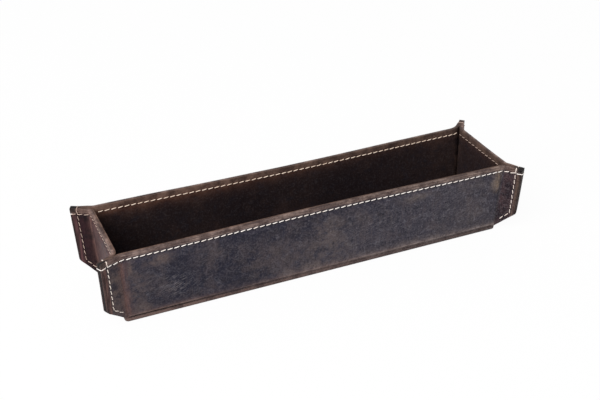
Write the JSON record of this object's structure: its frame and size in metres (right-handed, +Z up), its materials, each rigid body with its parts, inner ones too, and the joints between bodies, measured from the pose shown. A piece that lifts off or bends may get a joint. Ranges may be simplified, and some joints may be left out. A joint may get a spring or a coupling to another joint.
{
  "type": "leather pen tray",
  "caption": "Long narrow open desk tray of folded, lined leather with board-stiffened walls and doubled, sewn corner ears, for keeping pens and pencils in one place.",
  "frame": {"origin": "middle of the tray's underside, on the surface that it stands on", "axes": "+X along the tray, +Y from the front wall to the back wall, +Z up"},
  "size_m": [0.2318, 0.0686, 0.0411],
  "materials": {
    "outer_leather": "waxed matte",
    "lining_leather": "matte",
    "board": "pressed fibre board",
    "thread": "waxed thread"
  },
  "bodies": {
    "root": {"outer_leather": "outer_leather", "lining_leather": "lining_leather", "base_board": "board", "front_wall_board": "board", "back_wall_board": "board", "left_wall_board": "board", "right_wall_board": "board", "front_rim_needle_thread": "thread", "front_rim_bobbin_thread": "thread", "back_rim_needle_thread": "thread", "back_rim_bobbin_thread": "thread", "left_rim_needle_thread": "thread", "left_rim_bobbin_thread": "thread", "right_rim_needle_thread": "thread", "right_rim_bobbin_thread": "thread", "front_left_ear_needle_thread": "thread", "front_left_ear_bobbin_thread": "thread", "front_right_ear_needle_thread": "thread", "front_right_ear_bobbin_thread": "thread", "back_left_ear_needle_thread": "thread", "back_left_ear_bobbin_thread": "thread", "back_right_ear_needle_thread": "thread", "back_right_ear_bobbin_thread": "thread"}
  },
  "joints": []
}
